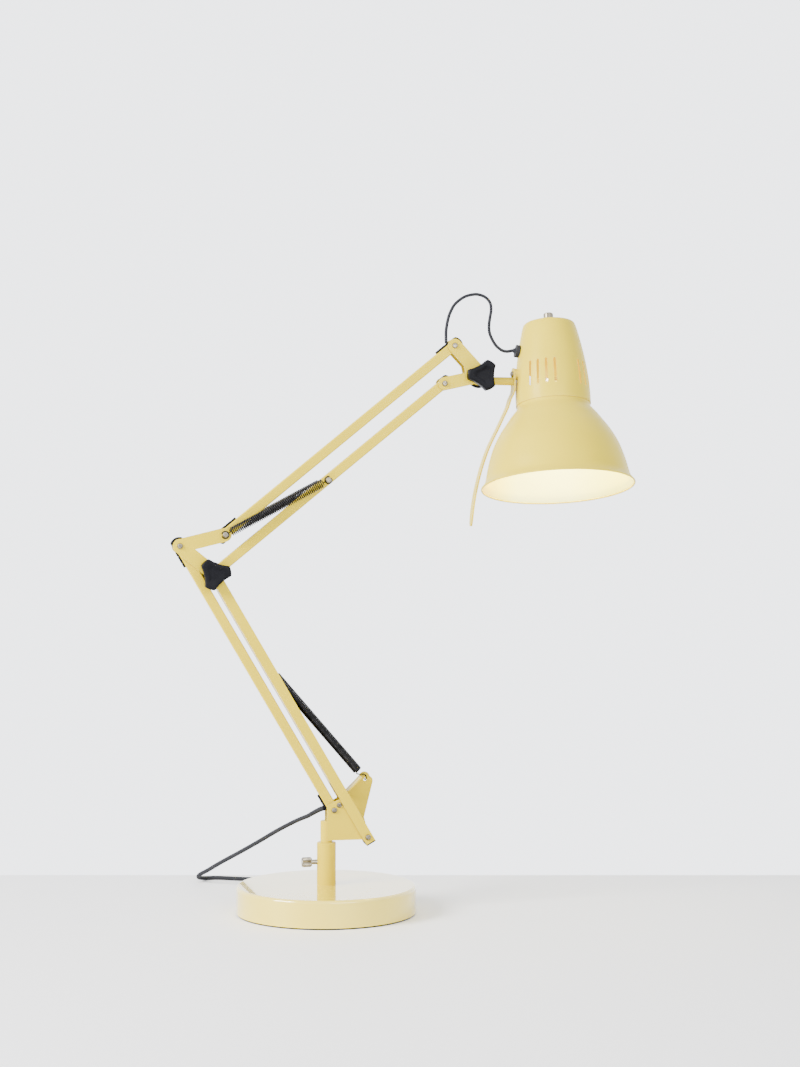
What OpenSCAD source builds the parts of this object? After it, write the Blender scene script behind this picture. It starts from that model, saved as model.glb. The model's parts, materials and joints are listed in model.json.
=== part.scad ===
/* [Base] */
// Diameter of the round foot
base_d = 180; // [140:1:220]
// Height of the foot with its pad
base_h = 28; // [20:0.5:40]
// Radius of the foot's top edge
base_edge_r = 3; // [1:0.5:8]
// Thickness of the pad under the foot
pad_h = 1.5; // [1:0.5:3]
// Diameter of the post collar
collar_d = 19; // [16:0.5:26]
// Height of the collar's top above the table
collar_top = 70.5; // [50:0.5:100]
// Diameter of the pivot spigot
spigot_d = 12; // [10:0.5:14]
// Height of the thumb screw above the table
thumb_z = 51; // [40:1:60]
// Diameter of the thumb screw's knurled head
thumb_d = 9.7; // [8:0.1:14]

/* [Lower arm] */
// Lower pivot of the cord tube, right of the post axis
pivot_a_x = 6.8; // [4:0.1:12]
// Lower pivot of the cord tube, above the table
pivot_a_z = 103; // [90:0.5:120]
// Distance between the two lower pivots
link_gap = 43.4; // [36:0.1:50]
// Fall of the line from the tube's pivot to the channel's pivot, in degrees
link_fall = 39.2; // [20:0.1:60]
// Length between the lower arm's pivots
lower_len = 305; // [200:1:400]
// Lean of the lower arm from upright, in degrees
lower_lean = 30.2; // [0:0.1:36]

/* [Upper arm] */
// Length between the upper arm's pivots
upper_len = 301; // [200:1:400]
// Rise of the upper arm above level, in degrees
upper_rise = 39.4; // [-20:0.1:58]
// Distance between the elbow's two upper pivots
elbow_gap = 39.8; // [30:0.1:50]
// Slope of the line through the elbow's two upper pivots, in degrees
elbow_slope = 74.7; // [60:0.1:90]
// Distance of the spring post from the elbow bolt
spring_post_at = 146.5; // [100:0.5:200]

/* [Sections] */
// Outside width of the square tubes
tube_w = 9.6; // [8:0.1:12]
// Wall of the square tubes
tube_wall = 1; // [0.8:0.1:1.5]
// Thickness of the plates and of the channel
sheet = 1.3; // [1:0.1:2]
// Outside width of the channel's flanges
channel_w = 10; // [8:0.5:14]
// Radius of the plate ends
plate_r = 7; // [6:0.1:9]
// Outer radius of the three-lobed knobs
knob_r = 16; // [13:0.5:20]
// Radius of a knob's waist between two lobes
knob_waist_r = 10.6; // [9:0.1:13]
// Thickness of a knob
knob_h = 10; // [7:0.5:14]
// Outside diameter of the springs
spring_d = 9.4; // [7:0.1:12]

/* [Shade] */
// Distance of the head bolt right of the under tube's top pivot
head_bolt_x = 38.6; // [30:0.1:50]
// Height of the head bolt above the under tube's top pivot
head_bolt_z = 8.6; // [0:0.1:20]
// Shade axis, right of the post axis
shade_x = 233; // [210:1:260]
// Height of the shade's side pivot
shade_z = 541.3; // [500:0.1:580]
// Roll of the shade about its side pivot, in degrees
shade_roll = 12; // [0:0.5:20]
// Wall of the shade
shade_wall = 0.8; // [0.6:0.1:1.5]
// Length of a vent slot
slot_len = 26.6; // [16:0.1:34]
// Width of a vent slot
slot_w = 2.7; // [2:0.1:4]

/* [Mains lead] */
// Diameter of the mains lead
lead_d = 4.4; // [4:0.1:6]
// Diameter of the lead on the head
head_lead_d = 3.2; // [2.5:0.1:4]

/* [Hidden] */
$fn = 64;

// Depth stack of the joints, measured each way from the arm's middle plane
tube_y = tube_w / 2;
washer_y = tube_y + 0.3;
plate_in = 6;
plate_out = plate_in + sheet;
screw_head_out = plate_out + 1.4;
channel_in = 9.1;
channel_out = channel_in + sheet;
spring_y = 12.2;
post_end_y = 13.6;
link_gap_y = 0.3;

// Radii of the pins and bolts, and of the holes that turn on them
pin_r = 2;
bolt_r = 3;
turn_gap = 0.05;
open_pivot_gap = 0.4;
pin_hole_r = pin_r + turn_gap;
screw_head_r = 2.9;
screw_head_h = 1.9;
washer_r = 5.2;

// Pivots in the arm's plane, as X and Z
function dir(a) = [cos(a), sin(a)];
lower_dir = 90 + lower_lean;
pivot_a = [pivot_a_x, pivot_a_z];
pivot_d = pivot_a + link_gap * dir(-link_fall);
elbow_1 = pivot_a + lower_len * dir(lower_dir);
elbow_3 = pivot_d + lower_len * dir(lower_dir);
elbow_2 = elbow_3 + elbow_gap * dir(elbow_slope);
head_4 = elbow_2 + upper_len * dir(upper_rise);
head_5 = elbow_3 + upper_len * dir(upper_rise);
head_k = head_5 + [head_bolt_x, head_bolt_z];
spring_post = elbow_3 + spring_post_at * dir(upper_rise);

// Tubes and their ends
tube_over = 4;
cap_r = 9;
cap_half_w = 6.3;
cap_from = 1;
strip_len = 17.5;
strip_w = 5;
strip_h = 2;

// Channel of the lower arm
channel_foot = 6;
channel_cap_h = 1.2;
channel_head = 7;
web_from = 66;
web_to = lower_len - 14;
anchor_at = 199.5;
anchor_r = 1.5;

// Foot
base_skin = 1.6;
stud_r = 5;
weight_h = 18;

// Bracket outline
bracket_left = -0.5;
bracket_foot_z = 73;
ear_hole = [40.2, 131.5];
ear_hole_r = 1.6;

// Head arm
rod_r = 4.2;
rod_z = 533.9;
hub_r = 9;
tab_x = 191.8;
tab_t = 1.6;
tab_r = 6.2;
boss_r = 5.5;
boss_x = tab_x + tab_t + link_gap_y;
pivot_nut_x = 198.3;

// Shade profiles as [radius, height along the shade's axis]
lip_r = 38.2;
cap_line = [
    [24.6, 53.6], [26.6, 52.2], [28.7, 45], [31.2, 34], [33.5, 22], [35.3, 11],
    [36.7, 0], [37.6, -10], [38.1, -20], [lip_r, -26], [lip_r, -32.6]
];
neck_r = lip_r - shade_wall;
dome_line = [
    [neck_r, -36], [39.4, -38.8], [45, -45.6], [49.6, -52.2], [55.4, -60.5],
    [60.3, -69], [64.5, -78], [67.9, -88], [70.6, -98], [72.8, -108],
    [74.4, -112.4], [77.9, -117.2]
];
neck_top = -26;
cap_top = 53.6;
slot_t = -5;
slot_groups = [-120.7, -36, 36, 120.7];
slot_step = 13.8;
grommet_t = 24;
grommet_wall_r = 33.1;
grommet_tilt = 11.3;
grommet_hole_r = 4;
bulb_cap_r = 13.2;
bulb_neck_r = 12.4;
nipple_r = 5;
nipple_top = 65.5;

// Lead routes
relief_route = [
    [-2.5, -0.4, 104.6], [-6.2, 5.2, 102.4], [-10.8, 13.2, 98.4], [-15.5, 21.5, 94]
];
lead_route = [
    [-15.6, 21.7, 93.9], [-25, 38.4, 87], [-40.5, 66, 73.6], [-56.5, 94, 58.4],
    [-72.5, 122.5, 43.6], [-89, 151.8, 28.8], [-101.6, 173, 17.8],
    [-107.6, 181, 12], [-112, 184.6, 7.6], [-115.2, 187, 4], [-117, 191, 2.2],
    [-116.6, 198, 2.2], [-112, 206, 2.2], [-104, 211.4, 2.2], [-94, 212, 2.2],
    [-84, 209, 2.2], [-70, 202.4, 2.2], [-54, 194.6, 2.2], [-40, 187, 2.2],
    [-28, 179.6, 2.2], [-18, 173, 2.2], [-9, 168.6, 2.2], [0, 167.2, 2.2]
];
tail_route = [
    [32, 140, 6.6], [36, 134.3, 6.6], [40, 128.6, 6.7], [44, 122.9, 6.8]
];
head_lead_a = [
    [122.6, 0, 571.4], [122.4, 0, 578], [122.8, 0.4, 586], [125, 1, 597],
    [128, 1.6, 604.6], [132.4, 2.2, 611.7], [139.4, 2.8, 617.9], [142.2, 3, 619.2]
];
head_lead_b = [
    [142.6, 3.03, 619.4], [145.3, 3.25, 620.5], [154.2, 4, 622.2], [164, 5, 619.9],
    [169.6, 5.8, 614.2], [170.9, 6.4, 607.2], [169.9, 6.6, 600]
];
head_lead_c = [
    [169.85, 6.6, 599.7], [168.8, 6.6, 592.5], [169, 6.5, 585], [171.2, 6.2, 578.4],
    [175.6, 5.8, 571], [181.8, 5.5, 566], [187.6, 5.4, 564.8], [193.5, 5.3, 566]
];
coil_at = [0, 132];
coil_inner_r = 15.4;
coil_low_rows = 5;
coil_top_rows = 4;
plug_at = [59.6, 100.5];
plug_turn = -55;
plug_len = 34;
plug_w = 30;
plug_t = 13.6;
plug_pin_r = 2;
plug_pin_gap = 19;

// Aiming handle: a strip through these points, with half widths
handle_route = [
    [192.6, 526], [191.4, 521], [188.6, 515.4], [186, 507], [182, 498.4],
    [175.6, 485], [170, 474], [164.6, 462], [158.6, 444.5], [153.8, 426],
    [150.6, 409], [148.8, 394], [148.2, 386.4]
];
handle_half_top = 7.4;
handle_half_foot = 5.6;

// Paint and material colours
yellow = [0.86, 0.79, 0.55];
black = [0.13, 0.13, 0.14];
steel = [0.75, 0.74, 0.70];

// ---- helpers ----

// Cylinder along Y at the point p of the arm's plane
module along_y(p, r, y0, y1) {
    translate([p[0], y0, p[1]])
        rotate([-90, 0, 0])
            cylinder(h = y1 - y0, r = r);
}

// Cylinder along X at height z, on the arm's plane
module along_x(x0, x1, z, r) {
    translate([x0, 0, z])
        rotate([0, 90, 0])
            cylinder(h = x1 - x0, r = r);
}

// Flat plate of the arm's plane between two depths
module plate(y0, y1) {
    translate([0, y1, 0])
        rotate([90, 0, 0])
            linear_extrude(height = y1 - y0)
                children();
}

// Local frame with X along a bar that starts at p, in the arm's plane
module at_bar(p, a) {
    translate([p[0], 0, p[1]])
        rotate([0, -a, 0])
            children();
}

// Flat bar with round ends between two points
module bar_2d(p, q, r) {
    d = q - p;
    translate(p)
        circle(r = r);
    translate(q)
        circle(r = r);
    translate(p)
        rotate([0, 0, atan2(d[1], d[0])])
            translate([0, -r])
                square([norm(d), 2 * r]);
}

// Square with round corners, about its centre
module rounded_square(w, r) {
    square([w - 2 * r, w], center = true);
    square([w, w - 2 * r], center = true);
    for (sx = [-1, 1])
        for (sy = [-1, 1])
            translate([sx * (w / 2 - r), sy * (w / 2 - r)])
                circle(r = r);
}

function unit(v) = v / norm(v);

// Point on a smooth curve between b and c, with neighbours a and d
function blend_point(a, b, c, d, t) =
    0.5 * (2 * b + (c - a) * t + (2 * a - 5 * b + 4 * c - d) * t * t
        + (3 * b - a - 3 * c + d) * t * t * t);

// Smooth path through points, with steps points for each stretch
function smooth_path(p, steps) = concat(
    [
        for (i = [0 : len(p) - 2])
            for (j = [0 : steps - 1])
                blend_point(
                    p[max(i - 1, 0)], p[i], p[i + 1],
                    p[min(i + 2, len(p) - 1)], j / steps)
    ],
    [p[len(p) - 1]]);

function heading(p, i) = unit(p[min(i + 1, len(p) - 1)] - p[max(i - 1, 0)]);

// Side faces and caps of a skin of rings, each ring of n points
function skin_faces(rings, n) = concat(
    [[for (k = [0 : n - 1]) k]],
    [[for (k = [n - 1 : -1 : 0]) (rings - 1) * n + k]],
    [
        for (i = [0 : rings - 2])
            for (k = [0 : n - 1])
                [i * n + k, (i + 1) * n + k, (i + 1) * n + (k + 1) % n]
    ],
    [
        for (i = [0 : rings - 2])
            for (k = [0 : n - 1])
                [i * n + k, (i + 1) * n + (k + 1) % n, i * n + (k + 1) % n]
    ]);

// Round tube swept along a path, with radius r0 at its start and r1 at its end
module swept_tube(path, r0, r1, sides, side_of) {
    last = len(path) - 1;
    points = [
        for (i = [0 : last])
            let (t = heading(path, i))
            let (s = unit(cross(t, side_of)))
            let (u = cross(t, s))
            let (r = r0 + (r1 - r0) * i / last)
            for (k = [0 : sides - 1])
                path[i] + r * (cos(360 * k / sides) * s + sin(360 * k / sides) * u)
    ];
    polyhedron(points = points, faces = skin_faces(last + 1, sides));
}

// Pan head with a cross recess, growing along +Z from its seat
module pan_head(r, h) {
    recess = 0.9 * h;
    difference() {
        union() {
            cylinder(h = 0.45 * h, r = r);
            translate([0, 0, 0.45 * h])
                cylinder(h = 0.35 * h, r1 = r, r2 = 0.88 * r);
            translate([0, 0, 0.8 * h])
                cylinder(h = 0.2 * h, r1 = 0.88 * r, r2 = 0.62 * r);
        }
        for (a = [0, 90])
            rotate([0, 0, a + 45])
                translate([-0.55 * r, -0.14 * r, h - recess])
                    cube([1.1 * r, 0.28 * r, h]);
    }
}

// Hexagon nut or bolt head, growing along +Z
module hexagon(r, h) {
    cylinder(h = h, r = r, $fn = 6);
}

// Screw through a joint: pan head in front, nut behind
module cross_screw(p, y_seat, r = pin_r) {
    along_y(p, r, -y_seat, y_seat + 3.4);
    translate([p[0], -y_seat, p[1]])
        rotate([90, 0, 0])
            pan_head(screw_head_r, screw_head_h);
    translate([p[0], y_seat, p[1]])
        rotate([-90, 0, 0])
            hexagon(3.3, 2.4);
}

// Pair of washers, one each side of a tube
module washer_pair(p, r_hole, y0, y1) {
    for (side = [-1, 1])
        difference() {
            along_y(p, washer_r, min(side * y0, side * y1), max(side * y0, side * y1));
            along_y(p, r_hole, -20, 20);
        }
}

// Square tube with a hole for a turning pin at each end
module square_tube(p, a, length, hole_0, hole_1) {
    at_bar(p, a)
        difference() {
            translate([-tube_over, 0, 0])
                rotate([90, 0, 90])
                    linear_extrude(height = length + 2 * tube_over)
                        difference() {
                            rounded_square(tube_w, 1.2);
                            square(tube_w - 2 * tube_wall, center = true);
                        }
            along_y([0, 0], hole_0, -tube_w, tube_w);
            along_y([length, 0], hole_1, -tube_w, tube_w);
        }
}

// Round-nosed cap over one end of a square tube; the tube's end is at +X
module tube_cap() {
    plate(-tube_y + 0.1, tube_y - 0.1)
        difference() {
            intersection() {
                circle(r = cap_r);
                translate([cap_from, -cap_half_w])
                    square([cap_r, 2 * cap_half_w]);
            }
            translate([0, -tube_w / 2])
                square([tube_over, tube_w]);
        }
}

module tube_caps(p, a, length) {
    at_bar(p, a)
        translate([length, 0, 0])
            tube_cap();
    at_bar(p, a + 180)
        tube_cap();
}

// Plastic strip with round ends on a tube's face, which the lead leaves through
module lead_strip(p, a, from, side) {
    at_bar(p, a)
        translate([from, 0, side * (tube_w / 2 + strip_h / 2)])
            difference() {
                union() {
                    for (x = [strip_w / 2, strip_len - strip_w / 2])
                        translate([x, 0, -strip_h / 2])
                            cylinder(h = strip_h, r = strip_w / 2);
                    translate([strip_w / 2, -strip_w / 2, -strip_h / 2])
                        cube([strip_len - strip_w, strip_w, strip_h]);
                }
                for (x = [strip_w, strip_len - strip_w])
                    translate([x, 0, side * strip_h / 2])
                        cube([0.8, strip_w + 1, 0.8], center = true);
            }
}

// Spring body along +X from x0 to x1, with a fine thread-like outside
module spring_body(x0, x1) {
    turns = 46;
    pitch = (x1 - x0) / turns;
    outer = spring_d / 2;
    wire = 1.3;
    rotate([0, 90, 0])
        rotate_extrude()
            polygon(concat(
                [[outer - wire, x0]],
                [
                    for (i = [0 : 2 * turns])
                        [outer - (i % 2 == 0 ? 0.5 : 0), x0 + i * pitch / 2]
                ],
                [[outer - wire, x1]]));
}

// Spring eye about Y at the local point x
module spring_eye(x, r, wire_r) {
    translate([x, 0, 0])
        rotate([90, 0, 0])
            rotate_extrude()
                translate([r, 0])
                    circle(r = wire_r);
}

// Outline of a three-lobed knob: straight tips joined by hollow sides
tip_half = 20;
hollow_steps = 6;
hollow_x = knob_waist_r;
corner_a = 60 - tip_half;
corner = [0.97 * knob_r * cos(corner_a), 0.97 * knob_r * sin(corner_a)];
hollow_c = (corner[0] * corner[0] + corner[1] * corner[1] - hollow_x * hollow_x)
    / (2 * (corner[0] - hollow_x));
hollow_r = hollow_c - hollow_x;
hollow_a = asin(corner[1] / hollow_r) * 0.94;

function turned(p, a) = [p[0] * cos(a) - p[1] * sin(a), p[0] * sin(a) + p[1] * cos(a)];

function knob_line(turn) = [
    for (lobe = [0 : 2])
        each concat(
            [
                for (i = [-2 : 2])
                    turned([knob_r, 0], turn + 120 * lobe + i * tip_half * 0.44)
            ],
            [
                for (i = [-hollow_steps : hollow_steps])
                    turned(
                        [
                            hollow_c - hollow_r * cos(hollow_a * i / hollow_steps),
                            hollow_r * sin(hollow_a * i / hollow_steps)
                        ],
                        turn + 120 * lobe + 60)
            ])
];

// Knob with soft edges; its back face is at y_back and it grows towards -Y
module lobed_knob(p, turn, y_back, bore) {
    line = knob_line(turn);
    n = len(line);
    layers = [[0.94, 0], [1, 0.7], [1, knob_h - 2.2], [0.965, knob_h - 0.8], [0.9, knob_h]];
    points = [
        for (layer = layers)
            for (k = [n - 1 : -1 : 0])
                [p[0] + layer[0] * line[k][0], y_back - layer[1], p[1] + layer[0] * line[k][1]]
    ];
    difference() {
        polyhedron(points = points, faces = skin_faces(len(layers), n));
        along_y(p, bore, y_back - 0.7 * knob_h, y_back + 1);
    }
}

// Joint bolt: threaded end in front, low hexagon head behind
module joint_bolt(p, y_front, y_head) {
    along_y(p, bolt_r, -y_front, y_head);
    translate([p[0], y_head, p[1]])
        rotate([-90, 0, 0])
            hexagon(5, 2.2);
}

// Clamp disc behind the rear plate, pocketed for the bolt's head
module clamp_disc(p, y0) {
    difference() {
        union() {
            along_y(p, 11.6, y0, y0 + 3.2);
            along_y(p, 10.4, y0 + 3.2, y0 + 4.2);
        }
        along_y(p, bolt_r, y0 - 1, y0 + 6);
        translate([p[0], y0 + 2, p[1]])
            rotate([-90, 0, 0])
                hexagon(5, 4);
    }
}

// ---- foot and post ----

module base_shell() {
    r = base_d / 2;
    edge_z = base_h - base_edge_r;
    color(yellow)
        rotate_extrude()
            difference() {
                union() {
                    translate([0, pad_h])
                        square([r, edge_z - pad_h]);
                    translate([0, edge_z])
                        square([r - base_edge_r, base_edge_r]);
                    translate([r - base_edge_r, edge_z])
                        circle(r = base_edge_r);
                }
                translate([0, pad_h - 1])
                    square([r - base_skin, base_h - pad_h - base_skin + 1]);
                translate([0, base_h - 2 * base_skin])
                    square([stud_r, 2 * base_skin + 1]);
            }
}

module base_weight() {
    color(black)
        difference() {
            translate([0, 0, pad_h])
                cylinder(h = weight_h, r = base_d / 2 - base_skin);
            cylinder(h = base_h, r = stud_r);
        }
}

module base_pad() {
    color(black)
        cylinder(h = pad_h, r = base_d / 2 - 1.2);
}

module post_collar() {
    bore_floor = 34;
    color(yellow)
        difference() {
            union() {
                translate([0, 0, base_h])
                    cylinder(h = collar_top - base_h - 0.6, r = collar_d / 2);
                translate([0, 0, collar_top - 0.6])
                    cylinder(h = 0.6, r1 = collar_d / 2, r2 = collar_d / 2 - 0.6);
                translate([0, 0, pad_h + 2])
                    cylinder(h = base_h - pad_h, r = stud_r);
            }
            translate([0, 0, bore_floor])
                cylinder(h = collar_top, r = spigot_d / 2 + turn_gap);
            along_x(-collar_d, 0, thumb_z, 2.35 + turn_gap);
        }
}

module thumb_screw() {
    head_x0 = -24.9;
    head_x1 = -15;
    ridges = 28;
    color(steel) {
        along_x(head_x0, head_x0 + 0.8, thumb_z, thumb_d / 2 - 0.7);
        along_x(head_x1 - 0.8, head_x1, thumb_z, thumb_d / 2 - 0.7);
        translate([head_x0 + 0.8, 0, thumb_z])
            rotate([0, 90, 0])
                linear_extrude(height = head_x1 - head_x0 - 1.6)
                    polygon([
                        for (i = [0 : 2 * ridges - 1])
                            (thumb_d / 2 - (i % 2) * 0.35) * dir(180 * i / ridges)
                    ]);
        along_x(head_x1, -6.5, thumb_z, 2.35);
    }
}

// ---- mains lead ----

module mains_lead() {
    color(black)
        swept_tube(smooth_path(lead_route, 3), lead_d / 2, lead_d / 2, 8, [0, 0, 1]);
}

module mains_coil() {
    low_r = coil_inner_r + coil_low_rows * lead_d;
    top_r = coil_inner_r + coil_top_rows * lead_d;
    color(black)
        translate([coil_at[0], coil_at[1], 0])
            rotate_extrude()
                polygon([
                    [coil_inner_r, 0], [low_r, 0], [low_r, lead_d],
                    [top_r, lead_d], [top_r, 2 * lead_d], [coil_inner_r, 2 * lead_d]
                ]);
}

module mains_tail() {
    color(black)
        swept_tube(smooth_path(tail_route, 2), lead_d / 2, lead_d / 2, 8, [0, 0, 1]);
}

module mains_plug() {
    color(black)
        translate([plug_at[0], plug_at[1], 0])
            rotate([0, 0, plug_turn]) {
                translate([-plug_len / 2, -plug_w / 2 + 4, 0])
                    cube([plug_len, plug_w - 8, plug_t]);
                translate([-plug_len / 2 + 4, -plug_w / 2, 0])
                    cube([plug_len - 4, plug_w, plug_t]);
                for (side = [-1, 1])
                    translate([-plug_len / 2 + 4, side * (plug_w / 2 - 4), 0])
                        cylinder(h = plug_t, r = 4);
                translate([-plug_len / 2 - 10, 0, plug_t / 2])
                    rotate([0, 90, 0])
                        cylinder(h = 11, r1 = lead_d / 2 + 0.3, r2 = 4.5);
            }
}

module plug_pins() {
    color(steel)
        translate([plug_at[0], plug_at[1], plug_t / 2])
            rotate([0, 0, plug_turn])
                for (side = [-1, 1])
                    translate([plug_len / 2, side * plug_pin_gap / 2, 0])
                        rotate([0, 90, 0]) {
                            cylinder(h = 17.4, r = plug_pin_r);
                            translate([0, 0, 17.4])
                                cylinder(h = 1.6, r1 = plug_pin_r, r2 = 1);
                        }
}

// ---- swivel bracket ----

module post_spigot() {
    color(yellow)
        difference() {
            union() {
                translate([0, 0, 34.4])
                    cylinder(h = 57, r = spigot_d / 2);
                translate([0, 0, 91.4])
                    cylinder(h = 0.8, r1 = spigot_d / 2, r2 = spigot_d / 2 - 0.8);
                translate([0, -plate_in, bracket_foot_z + 1])
                    cube([22, 2 * plate_in, 16]);
            }
            for (x = [11, 18])
                along_y([x, bracket_foot_z + 9], 1.5, -20, 20);
        }
}

// Outline that both cheeks share
module cheek_2d() {
    polygon([
        [bracket_left, bracket_foot_z], [bracket_left, 107.5], [1.6, 108.9],
        [10.6, 113.2], [19, 115.4], [24, 107], [37, 84], pivot_d + [2, 0],
        pivot_d + [-1, -2.6]
    ]);
    translate(pivot_d)
        circle(r = 5);
}

module cheek_holes() {
    along_y(pivot_a, pin_r, -20, 20);
    along_y(pivot_d, pin_r, -20, 20);
    along_y([12, 108], 1.5, -20, 20);
}

module rivet_heads(side) {
    for (x = [11, 18])
        along_y([x, bracket_foot_z + 9], 1.5, min(0, side * plate_out), max(0, side * plate_out));
}

module bracket_front() {
    color(yellow) {
        difference() {
            plate(-plate_out, -plate_in)
                cheek_2d();
            cheek_holes();
        }
        rivet_heads(-1);
    }
}

module bracket_rear() {
    ear = [39.6, 134];
    color(yellow) {
        difference() {
            union() {
                plate(plate_in, plate_out) {
                    cheek_2d();
                    polygon([
                        [10.6, 113.2], [19.8, 121.2], [30.4, 131.5], [36, 137.4],
                        [44.4, 135.2], [46.4, 134], [47.9, 132], [48.2, 129.6],
                        [39.2, 93.5], [43.6, 78], pivot_d, [20, 100]
                    ]);
                    translate(ear)
                        circle(r = 5.4);
                }
                // folded web along the sloping top edge
                plate(-plate_out, plate_in)
                    polygon([[17.2, 118.9], [34.4, 135.8], [35.3, 134.9], [18.1, 118]]);
            }
            cheek_holes();
            along_y(ear_hole, ear_hole_r, -20, 20);
        }
        rivet_heads(1);
    }
}

module bracket_screw() {
    color(steel) {
        along_y([12, 108], 1.5, -plate_out, -plate_in + 0.6);
        translate([12, -plate_out, 108])
            rotate([90, 0, 0])
                pan_head(2.7, 1.4);
    }
}

module lower_pins() {
    color(steel) {
        cross_screw(pivot_a, plate_out);
        cross_screw(pivot_d, channel_out + link_gap_y);
    }
}

module bracket_washers() {
    color(black) {
        washer_pair(pivot_a, pin_r, washer_y, plate_in);
        for (side = [-1, 1])
            difference() {
                along_y(pivot_d, 4.6,
                    min(side * plate_out, side * (channel_in - link_gap_y)),
                    max(side * plate_out, side * (channel_in - link_gap_y)));
                along_y(pivot_d, pin_r, -20, 20);
            }
    }
}

// ---- lower arm ----

module lower_tube() {
    color(yellow)
        square_tube(pivot_a, lower_dir, lower_len, pin_hole_r, pin_hole_r);
}

module lower_tube_caps() {
    color(black)
        tube_caps(pivot_a, lower_dir, lower_len);
}

module lower_lead_strips() {
    color(black) {
        lead_strip(pivot_a, lower_dir, 3, 1);
        lead_strip(pivot_a, lower_dir, lower_len - 21, 1);
    }
}

module lead_relief() {
    color(black)
        swept_tube(smooth_path(relief_route, 3), 2.7, lead_d / 2, 10, [0, 0, 1]);
}

module link_channel() {
    half = channel_w / 2;
    color(yellow)
        at_bar(pivot_d, lower_dir)
            difference() {
                union() {
                    for (y = [-channel_out, channel_in])
                        plate(y, y + sheet) {
                            translate([-channel_foot, -half])
                                square([lower_len + channel_foot + channel_head - half, channel_w]);
                            translate([lower_len + channel_head - half, 0])
                                circle(r = half);
                        }
                    translate([web_from, -channel_out, half - sheet])
                        cube([web_to - web_from, 2 * channel_out, sheet]);
                }
                along_y([0, 0], pin_r + turn_gap, -20, 20);
                along_y([lower_len, 0], bolt_r + open_pivot_gap, -20, 20);
            }
}

module link_end_cap() {
    half = channel_w / 2;
    color(black)
        at_bar(pivot_d, lower_dir)
            translate([-channel_foot - channel_cap_h, -channel_out, -half])
                cube([channel_cap_h, 2 * channel_out, channel_w]);
}

module spring_anchor() {
    color(steel)
        at_bar(pivot_d, lower_dir)
            along_y([anchor_at, 0], anchor_r, -channel_in, channel_in);
}

// Spring of the lower arm, from the channel's anchor to the bracket's ear
module lower_spring() {
    anchor = pivot_d + anchor_at * dir(lower_dir);
    run = ear_hole - anchor;
    reach = norm(run);
    wire_r = 0.7;
    hook = [
        [reach - 14.6, 0, -2.2], [reach - 12, 1.6, -1.6], [reach - 8, 3.4, -0.6],
        [reach - 3, 4.7, 0], [reach - 0.4, 5.3, 0], [reach + 0.5, 6.3, 0],
        [reach + 0.4, 7.8, 0], [reach - 1.4, 8.7, 0]
    ];
    color(black)
        at_bar(anchor, atan2(run[1], run[0])) {
            spring_eye(0, 2.5, wire_r);
            translate([2.4, 0, 0])
                rotate([0, 90, 0])
                    cylinder(h = 12, r = wire_r);
            spring_body(13, reach - 13.5);
            translate([13, 0, 0])
                rotate([0, 90, 0])
                    cylinder(h = 1.2, r = spring_d / 2 - 0.6);
            translate([reach - 15, 0, 0])
                rotate([0, 90, 0])
                    cylinder(h = 1.5, r = spring_d / 2 - 0.6);
            swept_tube(smooth_path(hook, 2), wire_r, wire_r, 8, [0, 0, 1]);
        }
}

// ---- elbow ----

module elbow_plate(side) {
    color(yellow)
        difference() {
            plate(
                min(side * plate_in, side * plate_out),
                max(side * plate_in, side * plate_out)) {
                bar_2d(elbow_1, elbow_2, plate_r - 0.2);
                bar_2d(elbow_1, elbow_3, plate_r + 0.1);
            }
            along_y(elbow_1, pin_r, -20, 20);
            along_y(elbow_2, pin_r, -20, 20);
            along_y(elbow_3, bolt_r, -20, 20);
        }
}

module elbow_plate_front() {
    elbow_plate(-1);
}

module elbow_plate_rear() {
    elbow_plate(1);
}

// Sleeves that hold the upper springs' eyes clear of the plates
module spring_sleeves(p, y_from) {
    for (side = [-1, 1])
        along_y(p, 2.6, min(side * y_from, side * post_end_y), max(side * y_from, side * post_end_y));
}

module elbow_pins() {
    color(steel) {
        cross_screw(elbow_1, plate_out);
        cross_screw(elbow_2, post_end_y);
        spring_sleeves(elbow_2, plate_out);
    }
}

module elbow_bolt() {
    color(steel)
        joint_bolt(elbow_3, channel_out + 6, channel_out + 2.6);
}

module elbow_clamp_disc() {
    color(black)
        clamp_disc(elbow_3, channel_out + 0.6);
}

module elbow_washers() {
    color(black) {
        washer_pair(elbow_1, pin_r, washer_y, plate_in);
        washer_pair(elbow_2, pin_r, washer_y, plate_in);
        washer_pair(elbow_3, bolt_r, washer_y, plate_in);
        washer_pair(elbow_3, bolt_r, plate_out, channel_in - link_gap_y);
    }
}

module elbow_knob() {
    color(black)
        lobed_knob(elbow_3, 11, -channel_out - link_gap_y, bolt_r + turn_gap);
}

// ---- upper arm ----

module upper_tube() {
    color(yellow)
        square_tube(elbow_2, upper_rise, upper_len, pin_hole_r, pin_hole_r);
}

module upper_tube_caps() {
    color(black)
        tube_caps(elbow_2, upper_rise, upper_len);
}

module upper_lead_strips() {
    color(black) {
        lead_strip(elbow_2, upper_rise, 2, 1);
        lead_strip(elbow_2, upper_rise, upper_len - 19, 1);
    }
}

module under_tube() {
    color(yellow)
        difference() {
            square_tube(
                elbow_3, upper_rise, upper_len, bolt_r + turn_gap, pin_r + open_pivot_gap);
            along_y(spring_post, pin_r, -tube_w, tube_w);
        }
}

module under_tube_caps() {
    color(black)
        tube_caps(elbow_3, upper_rise, upper_len);
}

module spring_posts() {
    color(steel) {
        cross_screw(spring_post, post_end_y);
        spring_sleeves(spring_post, tube_y);
    }
}

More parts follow.
